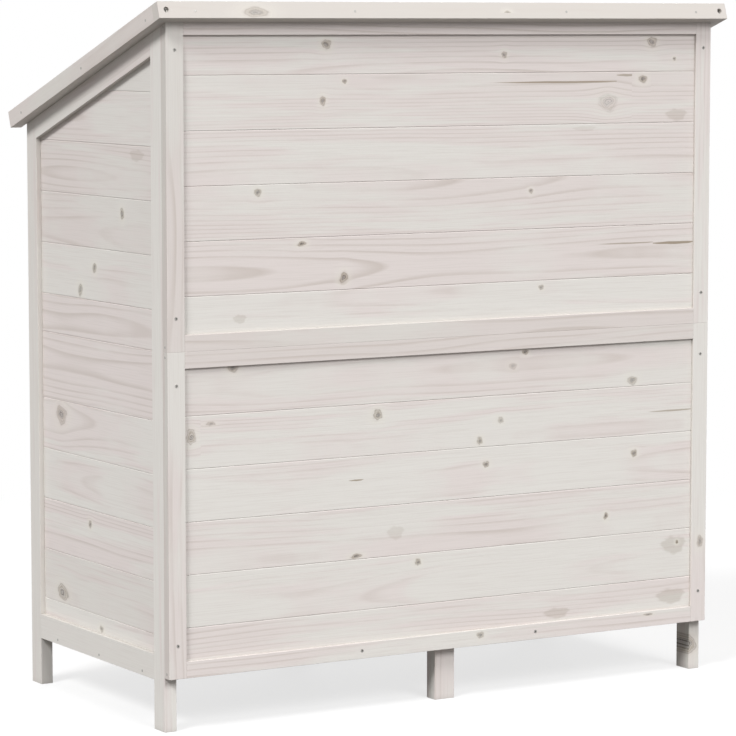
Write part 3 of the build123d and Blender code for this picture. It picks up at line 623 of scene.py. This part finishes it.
def grow(mesh, start, axes, draw, spacing, knots, streaks, tints, edge_shade):
    """Gives one solid its grain, its tint, the painted shade of its edge faces, and the knot and streak
    nearest to each stretch of it.
    """
    along, across, through = axes
    body = linked(start)
    low, high = extent(body, along)
    edge, far_edge = extent(body, across)
    width = far_edge - edge
    if knots is None:
        knots = random_knots(draw, spacing, low, high, width)
    body = cut_across(mesh, start, along, cuts(knots) + cuts(streaks))

    grain = mesh.verts.layers.float_vector["grain"]
    tint = mesh.loops.layers.float_vector["tint"]
    painted_edge_shade = mesh.loops.layers.float["painted_edge_shade"]
    marked = {"knot": knots, "streak": streaks}
    aside = (edge + width / 2 + draw.uniform(-1, 1) * HEART_ASIDE) * MM
    deep = draw.uniform(*HEART_DEPTH) * MM
    far = draw.uniform(0, ALONG_TREE)
    tone, warmth = tints or (draw.random(), draw.random())
    face_level = max(vertex.co.dot(through) for vertex in body)
    for vertex in body:
        place = vertex.co
        vertex[grain] = (place.dot(along) + far, place.dot(across) - aside,
                         face_level - place.dot(through) + deep)
    for face in {face for vertex in body for face in vertex.link_faces}:
        at = face.calc_center_median().dot(along) / MM
        # how much painted shade this face takes
        face_shade = shade_on_face(face, across, through, edge_shade)
        for name, marks in marked.items():
            layer = mesh.loops.layers.float_vector[name]
            centre, rise, half_length, half_width, strength = nearest(marks, at)
            third = half_width * MM if name == "knot" else strength
            for loop in face.loops:
                place = loop.vert.co / MM
                loop[layer] = ((place.dot(along) - centre) / half_length,
                               (place.dot(across) - edge - rise) / half_width, third)
                if name == "knot":
                    loop[tint] = (tone, warmth, strength)
                    loop[painted_edge_shade] = face_shade


def edge_shade_of(name):
    """Whether a piece takes painted shade on its square edges, or has the painted corner shade lifted from
    its seams.
    """
    if name.endswith("boards"):
        return SHADE_LIFTED_IN_SEAMS
    if name.endswith(("stile", "rail", "rake_board", "fascia_board")):
        return SHADE_ON_EDGES
    return 0.0


def timber(name, along, across, arris):
    """A wooden piece that stands for its node, with soft edges and each solid's grain along it."""
    mesh = welded(name)
    soften(mesh, arris)
    mesh.verts.layers.float_vector.new("grain")
    for layer in ("knot", "streak", "tint"):
        mesh.loops.layers.float_vector.new(layer)
    # painted shade of the edge faces
    mesh.loops.layers.float.new("painted_edge_shade")
    axes = (along, across, along.cross(across))
    spacing = BOARD_KNOTS if name.endswith("boards") else FRAME_KNOTS
    for index, start in enumerate(solids_of(mesh, along, across)):
        draw = random.Random(f"{name} {index}")
        knots = KNOTS[name].get(index, []) if name in KNOTS else None
        tints = TINTS_AND_PAINTED_LIGHT[name][index] if name in TINTS_AND_PAINTED_LIGHT else None
        streaks = STREAKS.get(name, {}).get(index, [])
        grow(mesh, start, axes, draw, spacing, knots, streaks, tints, edge_shade_of(name))
    piece = new_piece(f"{name}_fir", mesh, fir)
    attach(piece, frame["nodes"][name]["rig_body"])
    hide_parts(name)


def steel_piece(name, mesh, node, stands_for=True):
    """A steel piece that rides with a node, and stands for it or is added to it."""
    shade_round(mesh, CORNER)
    piece = new_piece(name, mesh, steel)
    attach(piece, frame["nodes"][node]["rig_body"])
    if stands_for:
        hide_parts(node)


def cross_headed(name):
    """Screws that stand for their node, each with a cross recess in the flat of its head."""
    mesh = welded(name)
    for index, start in enumerate(solids_of(mesh, X, Z)):
        turn = random.Random(f"{name} {index}").uniform(0, math.pi / 2)
        faces = {face for vertex in linked(start) for face in vertex.link_faces}
        head = max(faces, key=lambda face: (len(face.verts) > ROUND_HEAD, face.calc_area()))
        centre = head.calc_center_median()
        out = head.normal.copy()
        radius = max((vertex.co - centre).length for vertex in head.verts)
        rim = list(head.edges)
        bmesh.ops.delete(mesh, geom=[head], context="FACES_ONLY")
        first = out.orthogonal().normalized()
        ways = [Quaternion(out, turn + quarter * math.pi / 2) @ first for quarter in range(4)]
        arm = CROSS_REACH * radius
        half = CROSS_HALF_WIDTH * radius
        ring = []
        for way, onward in zip(ways, ways[1:] + ways[:1]):
            for along, aside in ((arm, -half), (arm, half), (half, half)):
                ring.append(mesh.verts.new(centre + way * along + onward * aside))
        edges = [mesh.edges.new(pair) for pair in zip(ring, ring[1:] + ring[:1])]
        bmesh.ops.triangle_fill(mesh, use_beauty=True, edges=rim + edges, normal=out)
        sunk = bmesh.ops.extrude_edge_only(mesh, edges=edges)["geom"]
        for vertex in (item for item in sunk if isinstance(item, bmesh.types.BMVert)):
            vertex.co = centre + (vertex.co - centre) * CROSS_TAPER - out * CROSS_DEPTH * radius
        floor = [item for item in sunk if isinstance(item, bmesh.types.BMEdge)]
        bmesh.ops.contextual_create(mesh, geom=floor)
    bmesh.ops.recalc_face_normals(mesh, faces=mesh.faces)
    steel_piece(f"{name}_crossed", mesh, name)


def clout_nails():
    """Broad-headed nails along all four edges of the felt."""
    felt = [vertex.co for vertex in frame["nodes"]["roof_felt"].data.vertices]
    face = max(point.dot(OFF_ROOF) for point in felt)
    inset = CLOUT_INSET * MM
    left = min(point.x for point in felt) + inset
    right = max(point.x for point in felt) - inset
    low = min(point.dot(UP_ROOF) for point in felt) + inset
    high = max(point.dot(UP_ROOF) for point in felt) - inset
    along = round((right - left) / (CLOUT_SPACING * MM))
    down = round((high - low) / (CLOUT_SPACING * MM))
    places = [(left + (right - left) * k / along, edge) for k in range(along + 1) for edge in (low, high)]
    places += [(edge, low + (high - low) * k / down) for k in range(1, down) for edge in (left, right)]
    tilt = Matrix((X, UP_ROOF, OFF_ROOF)).transposed().to_4x4()
    radius = CLOUT_RADIUS * MM
    mesh = bmesh.new()
    for x, y in places:
        spot = Matrix.Translation((x, y, face + CLOUT_HEIGHT * MM / 2))
        bmesh.ops.create_cone(mesh, cap_ends=True, segments=CLOUT_SIDES, radius1=radius,
                              radius2=radius * CLOUT_CROWN, depth=CLOUT_HEIGHT * MM, matrix=tilt @ spot)
    steel_piece("felt_clout_nails", mesh, "roof_felt", stands_for=False)


def roof_slope():
    """The way up the roof, along the longest edge of a rake board."""
    mesh = welded("right_rake_board")
    longest = max(mesh.edges, key=lambda edge: edge.calc_length())
    way = (longest.verts[1].co - longest.verts[0].co).normalized()
    mesh.free()
    return way if way.y > 0 else -way


def finish_node(name, material):
    """Gives a node that keeps its own shape its finish."""
    node = frame["nodes"][name]
    node.data.materials.clear()
    node.data.materials.append(material)


def background_rays(tree):
    """1 for rays that show the white surroundings: from the eye, mirrored, or passed through."""
    path = add_node(tree, "ShaderNodeLightPath")
    shown = path.outputs["Is Camera Ray"]
    for kind in ("Is Glossy Ray", "Is Transmission Ray"):
        either = add_node(tree, "ShaderNodeMath", {0: shown, 1: path.outputs[kind]}, operation="MAXIMUM")
        shown = either.outputs[0]
    return shown


def pale_floor():
    """A plain floor: near white to the eye, mid grey in the light it throws back, plain white far off."""
    material, tree, shader = new_material("pale_studio_floor")
    near = 0.9                   # metres from the middle of the floor
    far = 2.2
    near_white = 0.72
    path = add_node(tree, "ShaderNodeLightPath")
    colour = add_node(tree, "ShaderNodeMix", {SHARE: path.outputs["Is Camera Ray"], UNDER: linear("#6E6C6A"),
                                              OVER: linear("#FAFAFA")}, data_type="RGBA")
    tree.links.new(colour.outputs[MIXED], shader.inputs["Base Color"])
    shader.inputs["Roughness"].default_value = 0.9
    shader.inputs["Specular IOR Level"].default_value = 0.0
    place = add_node(tree, "ShaderNodeTexCoord")
    away = add_node(tree, "ShaderNodeVectorMath", {0: place.outputs["Object"]}, operation="LENGTH")
    share = add_node(tree, "ShaderNodeMapRange", {0: away.outputs["Value"], FROM_LOW: near, FROM_HIGH: far,
                                                  TO_LOW: near_white}, interpolation_type="SMOOTHSTEP")
    shown = add_node(tree, "ShaderNodeMath", {0: share.outputs[0], 1: background_rays(tree)},
                     operation="MULTIPLY")
    white = add_node(tree, "ShaderNodeEmission", {"Color": linear("#FFFFFF"), "Strength": 1.0})
    mixed = add_node(tree, "ShaderNodeMixShader", {0: shown.outputs[0], 1: shader.outputs[0],
                                                   2: white.outputs[0]})
    tree.links.new(mixed.outputs[0], tree.nodes["Material Output"].inputs["Surface"])
    return material


def studio():
    """The floor, the white surroundings and the soft lamps."""
    floor_radius = 30.0
    mesh = bmesh.new()
    bmesh.ops.create_circle(mesh, cap_ends=True, segments=96, radius=floor_radius)
    floor = new_piece("studio_floor", mesh, pale_floor())

    world = bpy.data.worlds.new("studio")
    bpy.context.scene.world = world
    world.use_nodes = True
    tree = world.node_tree
    level = add_node(tree, "ShaderNodeMapRange", {0: background_rays(tree), TO_LOW: SKY_LEVEL, TO_HIGH: 1.0})
    background = tree.nodes["Background"]
    background.inputs["Color"].default_value = linear("#FFFFFF")
    tree.links.new(level.outputs[0], background.inputs["Strength"])

    for name, (towards, energy, spread) in LAMPS.items():
        lamp = bpy.data.lights.new(name, "SUN")
        lamp.angle = math.radians(spread)
        lamp.energy = energy
        holder = bpy.data.objects.new(name, lamp)
        holder.rotation_euler = (-Vector(towards)).to_track_quat("-Z", "Y").to_euler()
        bpy.context.scene.collection.objects.link(holder)


def photograph():
    """The camera, where the photograph was taken from."""
    lens = bpy.data.cameras.new("camera")
    lens.lens = EYE_LENS
    camera = bpy.data.objects.new("camera", lens)
    camera.location = EYE
    camera.rotation_euler = (math.radians(90 + EYE_PITCH), 0, math.radians(EYE_TURN))
    bpy.context.scene.collection.objects.link(camera)
    bpy.context.scene.camera = camera


UP_ROOF = roof_slope()
OFF_ROOF = X.cross(UP_ROOF)
fir = whitewashed_fir()
steel = zinc_plated_steel()
sides = ("left", "right")

# Posts, legs and the two panels of the back
for end in ("rear", "front"):
    for side in sides:
        timber(f"{end}_{side}_post", Z, X, FRAME_ARRIS)
    timber(f"{end}_middle_leg", Z, X, FRAME_ARRIS)
for panel in ("lower_rear", "upper_rear"):
    for side in sides:
        timber(f"{panel}_{side}_stile", Z, X, FRAME_ARRIS)
    timber(f"{panel}_bottom_rail", X, Z, FRAME_ARRIS)
    timber(f"{panel}_top_rail", X, Z, FRAME_ARRIS)
    timber(f"{panel}_boards", X, Z, BOARD_ARRIS)

# On each side, the wall, the rake board and the door
for side in sides:
    timber(f"{side}_side_top_rail", UP_ROOF, OFF_ROOF, TIGHT_ARRIS)
    timber(f"{side}_side_bottom_rail", Y, Z, FRAME_ARRIS)
    timber(f"{side}_side_boards", Y, Z, BOARD_ARRIS)
    timber(f"{side}_rake_board", UP_ROOF, OFF_ROOF, TIGHT_ARRIS)
    for stile in ("hinge", "meeting"):
        timber(f"{side}_door_{stile}_stile", Z, X, FRAME_ARRIS)
    for rail in ("bottom", "middle", "top"):
        timber(f"{side}_door_{rail}_rail", X, Z, FRAME_ARRIS)
    timber(f"{side}_door_boards", X, Z, BOARD_ARRIS)
    timber(f"{side}_door_knob", Y, X, BOARD_ARRIS)

# The rest of the front, the floor, the roof and the turn-button
for name in ("front_header", "front_sill", "door_stop", "long_floor_bearers"):
    timber(name, X, Z, FRAME_ARRIS)
timber("cross_floor_bearers", Y, Z, FRAME_ARRIS)
timber("floor_boards", Y, X, BOARD_ARRIS)
timber("rear_fascia_board", X, OFF_ROOF, FRAME_ARRIS)
timber("roof_purlins", X, UP_ROOF, FRAME_ARRIS)
timber("roof_deck_boards", UP_ROOF, X, BOARD_ARRIS)
timber("latch_button", Z, X, BUTTON_ARRIS)

# Nails, hinges, screws and felt
for name in ("frame_nails", "hinge_post_leaves", "hinge_pins", "left_door_hinge_leaves",
             "right_door_hinge_leaves"):
    finish_node(name, steel)
for name in ("panel_screws", "hinge_post_screws", "left_door_hinge_screws", "right_door_hinge_screws",
             "latch_pivot"):
    cross_headed(name)
finish_node("roof_felt", mineral_felt())
clout_nails()

studio()
photograph()
bpy.context.scene.view_settings.view_transform = "Standard"
